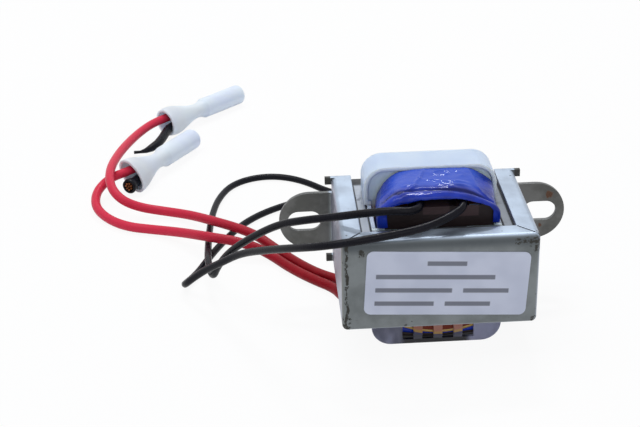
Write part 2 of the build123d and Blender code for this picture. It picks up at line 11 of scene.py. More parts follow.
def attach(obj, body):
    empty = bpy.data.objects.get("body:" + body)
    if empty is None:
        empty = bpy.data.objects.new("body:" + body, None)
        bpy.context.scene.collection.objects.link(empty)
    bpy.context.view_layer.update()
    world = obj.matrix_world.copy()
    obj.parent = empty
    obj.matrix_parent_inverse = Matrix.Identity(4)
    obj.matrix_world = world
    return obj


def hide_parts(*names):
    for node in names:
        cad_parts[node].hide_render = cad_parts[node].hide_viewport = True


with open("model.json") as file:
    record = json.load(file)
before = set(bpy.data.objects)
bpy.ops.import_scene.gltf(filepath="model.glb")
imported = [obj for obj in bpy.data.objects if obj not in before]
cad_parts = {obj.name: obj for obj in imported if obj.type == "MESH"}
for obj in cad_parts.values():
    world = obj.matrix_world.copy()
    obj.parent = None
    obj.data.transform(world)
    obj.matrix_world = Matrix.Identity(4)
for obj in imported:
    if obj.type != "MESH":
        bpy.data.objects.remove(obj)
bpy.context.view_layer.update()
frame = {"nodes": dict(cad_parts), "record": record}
nodes = frame["nodes"]
scene = bpy.context.scene
MM = 0.001

# Camera, fitted to the core's edges
CAMERA_PLACE = (-38.6, -282.9, 169.7)
CAMERA_AZIMUTH = math.radians(-2.74)
CAMERA_ELEVATION = math.radians(26.41)
CAMERA_ROLL = math.radians(-1.36)
CAMERA_LENS = 79.55

# Lead routes in millimetres, moved a little from those in the part's source to follow the photograph
RED_1 = [
    (-5, 8.2, 2.5), (-9.5, 8.2, 2.5), (-14.1, 8.6, 2.3), (-17.6, 12.1, 2), (-19.6, 18.8, 1.3),
    (-24.6, 22.4, 1.3), (-29.8, 28.8, 1.3), (-34.8, 36.3, 1.5), (-39.2, 40.6, 3.2),
    (-44.3, 44.9, 3.6), (-50.8, 49.7, 3.6), (-57.1, 56.7, 2.2), (-64, 60.8, 1.6),
    (-70.6, 60.9, 3), (-75.6, 61.6, 5.2), (-78.7, 66.4, 7.2), (-79.4, 76.2, 7.9),
    (-77.7, 90.4, 6.6), (-74.6, 103.2, 5.5), (-71.2, 111.4, 5.2), (-68.6, 115.1, 5.2),
    (-65.6, 118.4, 5.1), (-62.8, 121.3, 5),
]
RED_2 = [
    (-5, 5.2, 2.5), (-10, 5.2, 2.5), (-15.4, 5.7, 2.2), (-19.4, 9.4, 1.6), (-21.1, 14.9, 1.3),
    (-26.2, 19.8, 1.3), (-31.6, 26.3, 1.3), (-36.1, 33.1, 1.5), (-40.3, 35, 3.2),
    (-45.6, 36.8, 4.2), (-52, 38.2, 4.9), (-58.4, 45.2, 2.8), (-66.5, 50.7, 1.3),
    (-73.5, 53, 1.3), (-79, 58, 1.3), (-82.8, 64.5, 1.7), (-83.3, 70.8, 2.7),
    (-81.5, 75.2, 3.8), (-78.6, 77.1, 5.1), (-75.7, 77.7, 5.8), (-73.6, 80, 5.7), (-71.8, 83, 5.4),
]
BLACK_1 = [
    (-3.6, -6.4, 35.3), (-3.6, -9, 35.3), (-4.1, -11.8, 35.2), (-6.4, -13.4, 35.2),
    (-10.3, -13, 35.4), (-15.8, -10.6, 33.9), (-22.4, -7.4, 31.7), (-29, -4.1, 29.6),
    (-34.4, 1.2, 26.2), (-40.6, 7.2, 20.2), (-45.8, 12.6, 14), (-49.1, 16.3, 8.2), (-50.6, 19.3, 3.2),
    (-51.9, 27.2, 3.6), (-52, 37.4, 2.4), (-51.9, 49.5, 0.9), (-51.2, 59.4, 0.9),
    (-49.6, 68.6, 0.9), (-46.3, 76.6, 0.9), (-40.5, 81, 0.9), (-33.4, 81.8, 0.9),
    (-26, 78, 0.9), (-18.8, 69.3, 0.9), (-11, 65.5, 0.9), (-5.5, 57.5, 0.9),
    (-3, 48.5, 0.9), (-2.5, 40, 0.9),
]
BLACK_2 = [
    (5.6, -6.4, 35.3), (5.6, -9.2, 35.3), (5.3, -12, 34.9), (2.4, -13.8, 33.9), (-3.6, -16.8, 32.8),
    (-11.6, -18.2, 32.1), (-19.4, -19.4, 31.6), (-26.1, -17.5, 29.9), (-31.6, -11.4, 26.6),
    (-37.2, -2.9, 22), (-43.4, 6.3, 16.6), (-48.6, 11, 11.6), (-53, 14.9, 7.5), (-58.5, 18.6, 1.4),
    (-54.8, 25.6, 0.9), (-51.3, 35.7, 0.9), (-47.8, 43.6, 0.9), (-44.2, 50.7, 0.9),
    (-39.2, 57, 0.9), (-32.6, 62.1, 0.9), (-25.6, 65.4, 0.9), (-18.5, 65.6, 0.9),
    (-12.6, 61.5, 0.9), (-9.8, 54.5, 0.9), (-9.2, 46.5, 0.9), (-10.2, 38.5, 0.9), (-12.8, 31, 0.9),
]
RED_LEAD = 2.5
BLACK_LEAD = 1.8
STUB_2_END = (Vector((-70.1, 82.1, 3)), Vector((-74.4, 74.2, 3.1)))

# Upper stub from inside its cap to the shred at its cut end, as x, y, z and radius in millimetres
UPPER_STUB = [
    (-61.4, 120, 2.8, 1.35), (-63.2, 117.8, 2.8, 1.35), (-64.9, 115.4, 2.7, 1.35), (-65.9, 112.3, 2.4, 1.35),
    (-66.7, 109.2, 2.2, 1.35), (-67.9, 105.9, 2, 1.3), (-69.6, 103.2, 1.9, 1.15), (-71.2, 101.6, 1.8, 0.75),
    (-72.8, 101, 1.7, 0.42), (-74.6, 101.1, 1.6, 0.48),
]


def place_camera():
    """Camera at the photograph's viewing angle."""
    data = bpy.data.cameras.new("camera")
    data.sensor_width = 36
    data.lens = CAMERA_LENS
    data.clip_start = 0.01
    data.clip_end = 20
    camera = bpy.data.objects.new("camera", data)
    scene.collection.objects.link(camera)
    level = math.cos(CAMERA_ELEVATION)
    back = Vector((
        math.sin(CAMERA_AZIMUTH) * level, -math.cos(CAMERA_AZIMUTH) * level, math.sin(CAMERA_ELEVATION)
    ))
    right = Vector((math.cos(CAMERA_AZIMUTH), math.sin(CAMERA_AZIMUTH), 0))
    up = back.cross(right)
    side = right * math.cos(CAMERA_ROLL) + up * math.sin(CAMERA_ROLL)
    top = up * math.cos(CAMERA_ROLL) - right * math.sin(CAMERA_ROLL)
    turn = Matrix((side, top, back)).transposed().to_4x4()
    camera.matrix_world = Matrix.Translation(Vector(CAMERA_PLACE) * MM) @ turn
    scene.camera = camera


class Look:
    """A node material on one Principled shader, with short calls for the nodes that the looks share."""

    def __init__(self, name, roughness, metallic=0.0):
        self.material = bpy.data.materials.new(name)
        self.material.use_nodes = True
        self.tree = self.material.node_tree
        self.shader = self.tree.nodes["Principled BSDF"]
        self.set("Roughness", roughness)
        self.set("Metallic", metallic)
        self.coords = self.new("ShaderNodeTexCoord").outputs["Object"]
        self.axes = None

    def new(self, kind, **options):
        node = self.tree.nodes.new(kind)
        for key, value in options.items():
            setattr(node, key, value)
        return node

    def set(self, socket, value):
        self.join(value, self.shader.inputs[socket])

    def join(self, value, socket):
        """Links an output to a socket, or sets the socket to a plain number or colour."""
        if isinstance(value, bpy.types.NodeSocket):
            self.tree.links.new(value, socket)
        elif isinstance(value, tuple) and len(value) == 3 and socket.type == "RGBA":
            socket.default_value = (*value, 1.0)
        else:
            socket.default_value = value

    def axis(self, letter):
        if self.axes is None:
            self.axes = self.new("ShaderNodeSeparateXYZ")
            self.join(self.coords, self.axes.inputs[0])
        return self.axes.outputs[letter]

    def calc(self, operation, first, second=0.0):
        node = self.new("ShaderNodeMath", operation=operation)
        self.join(first, node.inputs[0])
        self.join(second, node.inputs[1])
        return node.outputs[0]

    def times(self, first, second):
        return self.calc("MULTIPLY", first, second)

    def most(self, first, second):
        return self.calc("MAXIMUM", first, second)

    def facing(self, letter):
        """One component of the surface's own direction."""
        node = self.new("ShaderNodeSeparateXYZ")
        self.join(self.new("ShaderNodeNewGeometry").outputs["Normal"], node.inputs[0])
        return node.outputs[letter]

    def step(self, value, low, high, start=0.0, end=1.0):
        """Smooth change from start to end while the value goes from low to high."""
        node = self.new("ShaderNodeMapRange", interpolation_type="SMOOTHSTEP")
        for socket, number in zip(("From Min", "From Max", "To Min", "To Max"), (low, high, start, end)):
            node.inputs[socket].default_value = number
        self.join(value, node.inputs["Value"])
        return node.outputs["Result"]

    def band(self, value, low, high, soft):
        """One between low and high, nought outside, with soft edges."""
        rise = self.step(value, low - soft, low + soft)
        fall = self.step(value, high - soft, high + soft, 1.0, 0.0)
        return self.times(rise, fall)

    def stretched(self, scale):
        node = self.new("ShaderNodeMapping")
        node.inputs["Scale"].default_value = scale
        self.join(self.coords, node.inputs["Vector"])
        return node.outputs["Vector"]

    def grain(self, size, detail=3.0, rough=0.55, scale=None):
        """Noise with features of about the size given in millimetres."""
        node = self.new("ShaderNodeTexNoise")
        node.inputs["Scale"].default_value = 1000 / size
        node.inputs["Detail"].default_value = detail
        node.inputs["Roughness"].default_value = rough
        self.join(self.stretched(scale) if scale else self.coords, node.inputs["Vector"])
        return node.outputs["Fac"]

    def spot(self, place, low, high):
        """One inside a distance of low millimetres from a place, nought beyond high."""
        node = self.new("ShaderNodeVectorMath", operation="DISTANCE")
        self.join(self.coords, node.inputs[0])
        node.inputs[1].default_value = tuple(Vector(place) * MM)
        return self.step(node.outputs["Value"], low * MM, high * MM, 1.0, 0.0)

    def mix(self, factor, first, second):
        node = self.new("ShaderNodeMix", data_type="RGBA")
        self.join(factor, node.inputs[0])
        self.join(first, node.inputs[6])
        self.join(second, node.inputs[7])
        return node.outputs[2]

    def bump(self, height, depth, rounded=None):
        """Fine relief of the given depth in millimetres, over edges rounded in shading where asked."""
        node = self.new("ShaderNodeBump")
        node.inputs["Distance"].default_value = depth * MM
        self.join(height, node.inputs["Height"])
        if rounded:
            edge = self.new("ShaderNodeBevel", samples=4)
            edge.inputs["Radius"].default_value = rounded * MM
            self.join(edge.outputs["Normal"], node.inputs["Normal"])
        self.set("Normal", node.outputs["Normal"])

    def milky(self, weight, radius, scale):
        """Light that enters the plastic and spreads."""
        self.set("Subsurface Weight", weight)
        self.set("Subsurface Radius", radius)
        self.set("Subsurface Scale", scale * MM)


# Dark scuffs and rust on the frame, as place and reach in millimetres
SCUFFS = [
    ((20.5, -16.7, 28.4), 1.7), ((18.4, -16.9, 28.8), 0.9), ((16.6, -16.9, 28.6), 0.8), ((21.2, -16.0, 29.8), 1.1),
    ((20.8, -16.6, 26.6), 0.9), ((20.8, -16.6, 8.9), 1.1), ((-20.6, -16.6, 8.9), 1.2), ((-20.4, -16.2, 29.4), 1.0),
    ((-20.5, -16.7, 11.0), 1.2), ((-17.4, -16.9, 27.4), 0.9),
]
RUST = [((30.4, 16.1, 23.4), 1.4), ((28.4, 16.1, 15.4), 0.9)]


def plated_steel():
    look = Look("plated_steel", 0.4, 0.8)
    x, y, z = (look.axis(letter) for letter in "XYZ")
    cloudy = look.grain(7.0, 4.0, 0.6)
    fine = look.grain(0.9, 3.0, 0.6)
    wide = look.calc("ABSOLUTE", x)
    front = look.step(y, -15.9 * MM, -15.5 * MM, 1.0, 0.0)
    colour = look.mix(look.step(cloudy, 0.3, 0.7), (0.34, 0.405, 0.5), (0.405, 0.485, 0.59))
    # Faces turned to the sides are painted darker: painted shade.
    flank = look.step(look.calc("ABSOLUTE", look.facing("X")), 0.55, 0.9)
    colour = look.mix(look.times(flank, 0.8), colour, (0.34, 0.345, 0.42))
    left_bend = look.times(look.step(x, -20.2 * MM, -19.6 * MM, 1.0, 0.0), front)
    colour = look.mix(left_bend, colour, (0.2, 0.21, 0.205))
    # The front web is painted darker as painted shade, with a darker band just under the top bend as a painted
    # shadow.
    web = look.step(look.facing("Y"), -0.92, -0.4, 1.0, 0.0)
    web_shade = look.mix(look.step(cloudy, 0.3, 0.7), (0.135, 0.15, 0.155), (0.205, 0.225, 0.235))
    web_shade = look.mix(look.step(z, 26.6 * MM, 28.9 * MM, 0.0, 0.75), web_shade, (0.055, 0.065, 0.075))
    colour = look.mix(web, colour, web_shade)
    # The ears are painted dark: painted shade.
    ears = look.times(look.step(y, 13.6 * MM, 15.4 * MM), look.step(wide, 21.6 * MM, 22.6 * MM))
    ear_shade = look.mix(look.step(cloudy, 0.35, 0.65), (0.085, 0.085, 0.08), (0.145, 0.145, 0.14))
    colour = look.mix(look.times(ears, 0.93), colour, ear_shade)
    streak = look.grain(1.6, 4.0, 0.7, (1.0, 1.0, 0.35))
    shift = look.times(look.calc("SUBTRACT", look.grain(2.4, 2.0, 0.5), 0.5), 1.6 * MM)
    wander = look.calc("ADD", x, shift)
    grime_and_shade = look.times(look.band(wander, -20.75 * MM, -20.15 * MM, 0.12 * MM), front)
    grime_and_shade = look.times(grime_and_shade, look.step(look.grain(0.75, 3.0, 0.65), 0.40, 0.47))
    speckle = look.step(look.grain(0.8, 4.0, 0.7), 0.46, 0.56)
    for place, size in SCUFFS:
        scuff = look.times(look.spot(place, 0.2, size * 1.5), speckle)
        grime_and_shade = look.most(grime_and_shade, look.step(scuff, 0.12, 0.5))
    specks = look.step(look.grain(1.15, 2.0, 0.5), 0.72, 0.75)
    grime_and_shade = look.most(grime_and_shade, look.times(specks, 0.8))
    # The nubs beyond the frame's ends are painted near black as painted shade; the rest of this mask is dark specks
    # and scuffs.
    beyond = look.step(wide, 21.55 * MM, 21.75 * MM)
    nub = look.calc("SUBTRACT", beyond, look.times(beyond, look.band(z, 11.0 * MM, 27.4 * MM, 0.2 * MM)))
    grime_and_shade = look.most(grime_and_shade, look.times(nub, 0.9))
    colour = look.mix(grime_and_shade, colour, (0.032, 0.031, 0.026))
    rust = None
    for place, size in RUST:
        ragged = look.times(look.calc("SUBTRACT", streak, 0.5), 2.4)
        patch = look.step(look.calc("ADD", look.spot(place, 0.0, size * 1.3), ragged), 0.4, 0.75)
        rust = patch if rust is None else look.most(rust, patch)
    colour = look.mix(look.times(rust, 0.8), colour, (0.13, 0.05, 0.018))
    look.set("Base Color", colour)
    dull = look.most(grime_and_shade, rust)
    look.set("Metallic", look.step(dull, 0.0, 1.0, 0.8, 0.1))
    rough = look.step(cloudy, 0.25, 0.75, 0.34, 0.5)
    look.set("Roughness", look.most(rough, look.times(dull, 0.8)))
    look.bump(fine, 0.02, 0.3)
    return look.material


def core_steel():
    look = Look("core_steel", 0.45, 0.75)
    plates = look.grain(4.0, 3.0, 0.5, (0.05, 0.05, 9.0))
    mottled = look.grain(2.5, 4.0, 0.65)
    colour = look.mix(look.step(plates, 0.35, 0.65), (0.19, 0.21, 0.24), (0.36, 0.4, 0.46))
    colour = look.mix(look.step(mottled, 0.56, 0.74, 0.0, 0.6), colour, (0.09, 0.09, 0.1))
    # Dark bands beside the lips' inner edges and along the window's edges are painted shadow in the gaps there; the
    # top also darkens towards its rear end.
    across_x = look.calc("ABSOLUTE", look.axis("X"))
    lip_gap_shadow = look.band(across_x, 16.45 * MM, 17.4 * MM, 0.1 * MM)
    edge = look.band(across_x, 14.3 * MM, 14.75 * MM, 0.1 * MM)
    rear = look.step(look.axis("Y"), 12.8 * MM, 14.2 * MM)
    dark = look.most(look.most(lip_gap_shadow, edge), rear)
    colour = look.mix(look.times(dark, 0.93), colour, (0.012, 0.013, 0.014))
    look.set("Base Color", colour)
    look.set("Roughness", look.step(mottled, 0.3, 0.7, 0.36, 0.6))
    look.bump(mottled, 0.03)
    return look.material


# Edge of the pale tape under the winding: lowest height, its place along X, rise per square aside of it, and depth
WRAP_LOW = 2.05
WRAP_MIDDLE = 1.4
WRAP_CURVE = 0.024
WRAP_EDGE = 0.6

# Lower edge of the blue layers there: lowest height and share of that rise
BLUE_LOW = 1.85
BLUE_SHARE = 0.4


def seen_through(look, colour):
    """Tint of the front comb: the winding and its tapes painted on where they show through the thin plastic, over
    painted shade low down.
    """
    x, z = look.axis("X"), look.axis("Z")
    front = look.step(look.axis("Y"), -8.9 * MM, -8.7 * MM, 1.0, 0.0)
    comb = look.times(look.band(x, -7.4 * MM, 7.6 * MM, 0.9 * MM), front)
    comb = look.times(comb, look.step(z, 7.4 * MM, 8.2 * MM, 1.0, 0.0))
    aside = look.calc("SUBTRACT", x, WRAP_MIDDLE * MM)
    squared = look.times(aside, aside)
    above = look.calc("SUBTRACT", z, look.times(squared, WRAP_CURVE / MM))
    low = look.calc("SUBTRACT", z, look.times(squared, BLUE_SHARE * WRAP_CURVE / MM))
    # The two darkest tones, at the foot and just above it, are painted shade.
    tint = look.mix(look.step(z, 0.9 * MM, 1.3 * MM), (0.012, 0.011, 0.015), (0.06, 0.058, 0.078))
    tint = look.mix(look.step(low, (BLUE_LOW - 0.1) * MM, (BLUE_LOW + 0.1) * MM), tint, (0.03, 0.03, 0.11))
    tint = look.mix(look.step(above, (WRAP_LOW - 0.05) * MM, (WRAP_LOW + 0.1) * MM), tint, (0.6, 0.34, 0.045))
    tint = look.mix(look.step(above, (WRAP_LOW + 0.5) * MM, (WRAP_LOW + 0.85) * MM), tint, (0.55, 0.2, 0.1))
    cover = look.times(comb, look.step(z, 0.9 * MM, 1.3 * MM, 0.97, 0.8))
    return look.mix(cover, colour, tint)


def milky_plastic(name, pale, shade, depth, rough, front=None, low=None):
    """Translucent nylon: pale body, cloudy tint, soft surface and where asked a paler front that is painted light
    and a darker foot that is painted shade.
    """
    look = Look(name, rough)
    cloudy = look.grain(9.0, 3.0, 0.5)
    fine = look.grain(0.7, 2.0, 0.5)
    colour = look.mix(look.step(cloudy, 0.3, 0.7), shade, pale)
    # Faces turned to the front get a paler colour: painted light.
    if front is not None:
        colour = look.mix(look.step(look.facing("Y"), -0.9, -0.3, 1.0, 0.0), colour, front)
    if low is not None:
        # The foot is painted darker as painted shade, with streaks and a rise towards +X that vary it.
        streaks = look.grain(4.0, 3.0, 0.55, (1.0, 1.0, 0.4))
        lit = look.calc("ADD", streaks, look.step(look.axis("X"), -14.0 * MM, 14.0 * MM, -0.1, 0.12))
        dull, clear = (tuple(factor * value for value in low) for factor in (0.75, 1.6))
        shaded_foot = look.mix(look.step(lit, 0.35, 0.68), dull, clear)
        colour = look.mix(look.step(look.axis("Z"), 7.0 * MM, 12.0 * MM, 1.0, 0.0), colour, shaded_foot)
        colour = seen_through(look, colour)
    look.set("Base Color", colour)
    look.set("Roughness", look.step(cloudy, 0.3, 0.7, rough - 0.06, rough + 0.08))
    look.set("Specular IOR Level", 0.35)
    look.milky(0.85, (0.9, 0.95, 1.0), depth)
    look.bump(fine, 0.012, 0.22)
    return look.material


def enamelled_copper():
    look = Look("enamelled_copper", 0.32, 0.75)
    turns = look.new("ShaderNodeTexWave", wave_type="BANDS", bands_direction="Y", wave_profile="SIN")
    turns.inputs["Scale"].default_value = 1000 / 0.35 / 20
    turns.inputs["Distortion"].default_value = 0.6
    turns.inputs["Detail"].default_value = 1.0
    look.join(look.coords, turns.inputs["Vector"])
    tone = look.grain(3.0, 3.0, 0.6)
    colour = look.mix(look.step(tone, 0.3, 0.7), (0.3, 0.05, 0.014), (0.5, 0.12, 0.035))
    look.set("Base Color", look.mix(look.step(turns.outputs["Fac"], 0.1, 0.6), (0.1, 0.014, 0.006), colour))
    look.bump(turns.outputs["Fac"], 0.06)
    return look.material


def inner_tape():
    look = Look("inner_tape", 0.25)
    wavy = look.grain(4.0, 2.0, 0.5, (0.4, 2.0, 0.4))
    look.set("Base Color", look.mix(wavy, (0.5, 0.29, 0.04), (0.64, 0.42, 0.09)))
    look.set("Coat Weight", 0.4)
    look.set("Coat Roughness", 0.1)
    look.bump(wavy, 0.08)
    return look.material


def splice_sleeve():
    look = Look("splice_sleeve", 0.5)
    fine = look.grain(0.6)
    look.set("Base Color", look.mix(fine, (0.1, 0.1, 0.11), (0.25, 0.25, 0.27)))
    look.bump(fine, 0.03)
    return look.material


def blue_tape():
    look = Look("blue_tape", 0.3)
    wide = look.grain(6.0, 3.0, 0.55)
    fine = look.grain(0.8, 3.0, 0.6, (0.5, 1.4, 0.5))
    colour = look.mix(look.step(wide, 0.32, 0.68), (0.003, 0.016, 0.25), (0.01, 0.04, 0.46))
    y, z = look.axis("Y"), look.axis("Z")
    # The crown is painted lighter: painted light.
    crown = look.times(look.step(z, 35.2 * MM, 37.4 * MM), look.step(y, -7.6 * MM, -5.0 * MM))
    colour = look.mix(look.times(crown, 0.8), colour, (0.05, 0.115, 0.62))
    # The fold is painted darker: painted shade.
    fold = look.times(look.band(y, -8.6 * MM, -7.6 * MM, 0.35 * MM), look.step(z, 34.0 * MM, 35.5 * MM))
    colour = look.mix(look.times(fold, 0.88), colour, (0.001, 0.004, 0.09))
    look.set("Base Color", colour)
    look.set("Roughness", look.step(fine, 0.3, 0.7, 0.2, 0.34))
    look.set("Specular IOR Level", 0.03)
    look.set("Coat Weight", 0.38)
    look.set("Coat Roughness", 0.08)
    look.bump(fine, 0.008)
    return look.material


def insulating_sheet():
    look = Look("insulating_sheet", 0.5)
    fibre = look.grain(1.2, 4.0, 0.65, (0.4, 1.0, 2.0))
    x, z = look.axis("X"), look.axis("Z")
    # The near-black brown is partly the sheet's own colour and partly painted shade of the recess under the visor.
    colour = look.mix(fibre, (0.010, 0.006, 0.006), (0.026, 0.016, 0.017))
    left = look.times(look.band(x, -3.2 * MM, 2.6 * MM, 0.2 * MM), look.band(z, 32.5 * MM, 35.2 * MM, 0.15 * MM))
    right = look.times(look.band(x, 4.2 * MM, 9.0 * MM, 0.2 * MM), look.band(z, 31.8 * MM, 34.5 * MM, 0.15 * MM))
    patch = look.times(look.most(left, right), 0.7)
    look.set("Base Color", look.mix(patch, colour, (0.07, 0.042, 0.045)))
    look.set("Specular IOR Level", 0.2)
    look.bump(fibre, 0.05)
    return look.material


# Plain bars in place of print, as left, right and middle height in millimetres from the label's middle
LABEL_MIDDLE = (1.35, 19.2)
LABEL_TURN = math.radians(-3.15)
LABEL_BAR = 1.1
LABEL_BARS = [
    (-4.6, 4.0, 4.9), (-15.6, 10.4, 1.6), (-15.6, 1.2, -1.7), (3.6, 13.6, -1.7),
    (-15.6, -2.6, -5.0), (-0.2, 9.8, -5.0),
]


def label_paper():
    look = Look("label_paper", 0.55)
    fibre = look.grain(0.5, 4.0, 0.7)
    cloudy = look.grain(8.0, 2.0, 0.5)
    paper = look.mix(look.step(cloudy, 0.35, 0.65), (0.585, 0.625, 0.76), (0.65, 0.69, 0.825))
    x = look.calc("SUBTRACT", look.axis("X"), LABEL_MIDDLE[0] * MM)
    z = look.calc("SUBTRACT", look.axis("Z"), LABEL_MIDDLE[1] * MM)
    cosine, sine = math.cos(LABEL_TURN), math.sin(LABEL_TURN)
    along = look.calc("ADD", look.times(x, cosine), look.times(z, sine))
    above = look.calc("SUBTRACT", look.times(z, cosine), look.times(x, sine))
    bars = None
    for low, high, middle in LABEL_BARS:
        reach = look.band(along, low * MM, high * MM, 0.12 * MM)
        bar = look.times(
            reach, look.band(above, (middle - LABEL_BAR / 2) * MM, (middle + LABEL_BAR / 2) * MM, 0.12 * MM)
        )
        bars = bar if bars is None else look.most(bars, bar)
    look.set("Base Color", look.mix(look.times(bars, 0.8), paper, (0.09, 0.095, 0.12)))
    look.set("Specular IOR Level", 0.3)
    look.bump(fibre, 0.01)
    return look.material


def soft_vinyl(name, dark, light, rough, far, far_from, far_to):
    """Lead insulation: smooth vinyl with faint clouds, and a lighter tone towards the loops on the left that is
    painted light.
    """
    look = Look(name, rough)
    cloudy = look.grain(5.0, 3.0, 0.55)
    fine = look.grain(0.45, 3.0, 0.6)
    colour = look.mix(look.step(cloudy, 0.3, 0.7), dark, light)
    look.set("Base Color", look.mix(look.step(look.axis("X"), far_to * MM, far_from * MM, 1.0, 0.0), colour, far))
    look.set("Roughness", look.step(fine, 0.3, 0.7, rough - 0.08, rough + 0.1))
    look.set("Specular IOR Level", 0.12)
    look.bump(fine, 0.02)
    return look.material


def bright_metal(name, dark, light, rough):
    look = Look(name, rough, 0.9)
    fine = look.grain(0.4, 3.0, 0.6)
    look.set("Base Color", look.mix(fine, dark, light))
    look.set("Roughness", look.step(fine, 0.3, 0.7, rough - 0.08, rough + 0.12))
    look.bump(fine, 0.015)
    return look.material


looks = {
    "plated_steel": plated_steel(),
    "core_steel": core_steel(),
    "bobbin_nylon": milky_plastic(
        "bobbin_nylon", (0.68, 0.84, 1.0), (0.62, 0.78, 0.99), 1.2, 0.34, (0.74, 0.91, 1.0), (0.23, 0.235, 0.32)
    ),
    "cover_plastic": milky_plastic(
        "cover_plastic", (0.58, 0.7, 1.0), (0.53, 0.65, 0.97), 2.0, 0.36, (0.78, 0.91, 1.0)
    ),
    "enamelled_copper": enamelled_copper(),
    "inner_tape": inner_tape(),
    "splice_sleeve": splice_sleeve(),
    "blue_tape": blue_tape(),
    "insulating_sheet": insulating_sheet(),
    "label_paper": label_paper(),
    "red_insulation": soft_vinyl(
        "red_insulation", (0.24, 0.003, 0.009), (0.3, 0.006, 0.014), 0.36, (0.66, 0.033, 0.075), -26, -70
    ),
    "black_insulation": soft_vinyl(
        "black_insulation", (0.002, 0.002, 0.005), (0.005, 0.005, 0.01), 0.3, (0.006, 0.0065, 0.011), -22, -46
    ),
    "tinned_copper": bright_metal("tinned_copper", (0.5, 0.5, 0.52), (0.72, 0.72, 0.74), 0.35),
    "cap_nylon": milky_plastic("cap_nylon", (0.76, 0.84, 0.97), (0.7, 0.77, 0.95), 1.5, 0.36),
    "bare_copper": bright_metal("bare_copper", (0.1, 0.04, 0.02), (0.36, 0.13, 0.05), 0.32),
}
for entry in frame["record"]["subparts"]:
    slots = nodes[entry["node"]].data.materials
    slots.clear()
    slots.append(looks[entry["material_slot"]])


def finish_piece(piece, slot, *replaced):
    """Gives a new piece its look and its body, and hides the nodes that it stands for."""
    piece.data.materials.append(looks[slot])
    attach(piece, "root")
    if replaced:
        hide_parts(*replaced)


def lead(name, points, diameter, slot):
    """Round lead on one smooth spline whose control points are the route's points."""
    curve = bpy.data.curves.new(name, "CURVE")
    curve.dimensions = "3D"
    curve.resolution_u = 10
    curve.bevel_depth = diameter / 2 * MM
    curve.bevel_resolution = 6
    curve.use_fill_caps = True
    spline = curve.splines.new("NURBS")
    spline.points.add(len(points) - 1)
    for control, place in zip(spline.points, points):
        control.co = (*(Vector(place) * MM), 1.0)
    spline.order_u = 3
    spline.use_endpoint_u = True
    piece = bpy.data.objects.new(name, curve)
    scene.collection.objects.link(piece)
    finish_piece(piece, slot, name.replace("flying_", ""))
    return piece


def mesh_piece(name, mesh):
    """Object for a bmesh, smooth shaded."""
    data = bpy.data.meshes.new(name)
    bmesh.ops.recalc_face_normals(mesh, faces=mesh.faces)
    mesh.to_mesh(data)
    mesh.free()
    data.shade_smooth()
    piece = bpy.data.objects.new(name, data)
    scene.collection.objects.link(piece)
    return piece


def across(heading):
    """Two unit directions square to a heading and to each other."""
    first = heading.cross(Vector((0, 0, 1)))
    if first.length < 0.1:
        first = heading.cross(Vector((1, 0, 0)))
    first.normalize()
    return first, heading.cross(first).normalized()


def skin(mesh, rings, closed=True):
    """Quads between rings of points, and where closed a face over each end ring."""
    for first, second in zip(rings, rings[1:]):
        for k in range(len(first)):
            after = (k + 1) % len(first)
            mesh.faces.new((first[k], first[after], second[after], second[k]))
    if closed:
        mesh.faces.new(list(reversed(rings[0])))
        mesh.faces.new(rings[-1])


def add_tube(mesh, path, radii, around=10):
    """Closed tube along a path of points in millimetres, one radius for each point."""
    rings = []
    for index, place in enumerate(path):
        before = path[max(index - 1, 0)]
        after = path[min(index + 1, len(path) - 1)]
        heading = (after - before).normalized()
        if index == 0:
            side, up = across(heading)
        else:
            side = (side - heading * side.dot(heading)).normalized()
            up = heading.cross(side)
        ring = []
        for k in range(around):
            angle = 2 * math.pi * k / around
            offset = (side * math.cos(angle) + up * math.sin(angle)) * radii[index]
            ring.append(mesh.verts.new((place + offset) * MM))
        rings.append(ring)
    skin(mesh, rings)


def add_strands(mesh, start, heading, length, bundle, wire, count, turns, spread):
    """Twisted strands that start round a centre line and fan out towards their ends."""
    heading = heading.normalized()
    side, up = across(heading)
    for k in range(count):
        ring = bundle if k else 0.0
        reach = length * random.uniform(0.82, 1.0)
        lean = spread * random.uniform(0.4, 1.0)
        path = []
        for index in range(9):
            share = index / 8
            angle = 2 * math.pi * (k / max(count - 1, 1) + turns * share)
            out = ring * (1 + lean * share * share)
            path.append(start + heading * reach * share + (side * math.cos(angle) + up * math.sin(angle)) * out)
        add_tube(mesh, path, [wire] * 8 + [wire * 0.85], 7)


# Tape: profile corners at its rear and front edges, as x, z and bend in millimetres, from the bottom left upwards
TAPE_BOTTOM = 1.65
REAR_CORNERS = [
    (-13.0, TAPE_BOTTOM, 6.2), (-12.5, 29.2, 0.8), (-12.3, 33.2, 2.4), (-8.2, 38.1, 3.4),
    (9.8, 37.7, 3.0), (15.0, 33.6, 2.4), (13.3, 29.2, 1.2), (13.0, TAPE_BOTTOM, 6.2),
]
FRONT_CORNERS = [
    (-13.0, TAPE_BOTTOM, 6.2), (-13.0, 29.2, 0.8), (-13.5, 34.2, 1.8), (-9.0, 37.6, 2.6),
    (5.5, 37.7, 3.2), (13.6, 33.4, 2.0), (13.0, 29.2, 1.2), (13.0, TAPE_BOTTOM, 6.2),
]
SIDE_STEPS = (14, 8, 24, 48, 26, 8, 14, 30)
CORNER_STEPS = 9
TAPE_REAR = 2.4
TAPE_FRONT = -8.7
TAPE_ROWS = 60
VISOR_ROWS = 20
VISOR_FOOT = 29.6
TAPE_SHEET = 0.3

# Opening under the visor, as x, y and z round its edge from the left leg over the leads to the right leg
OPENING = [
    (-10.9, -10.4, 30.0), (-11.1, -10.45, 32.6), (-11.2, -10.6, 34.2), (-10.4, -10.85, 35.1), (-8.6, -10.95, 35.6),
    (-6.4, -10.95, 36.0), (-3.9, -10.9, 36.5), (-0.2, -10.9, 36.6), (4.8, -10.9, 36.45), (8.6, -10.95, 35.4),
    (11.2, -10.9, 34.4), (12.1, -10.6, 33.2), (12.1, -10.4, 30.2),
]

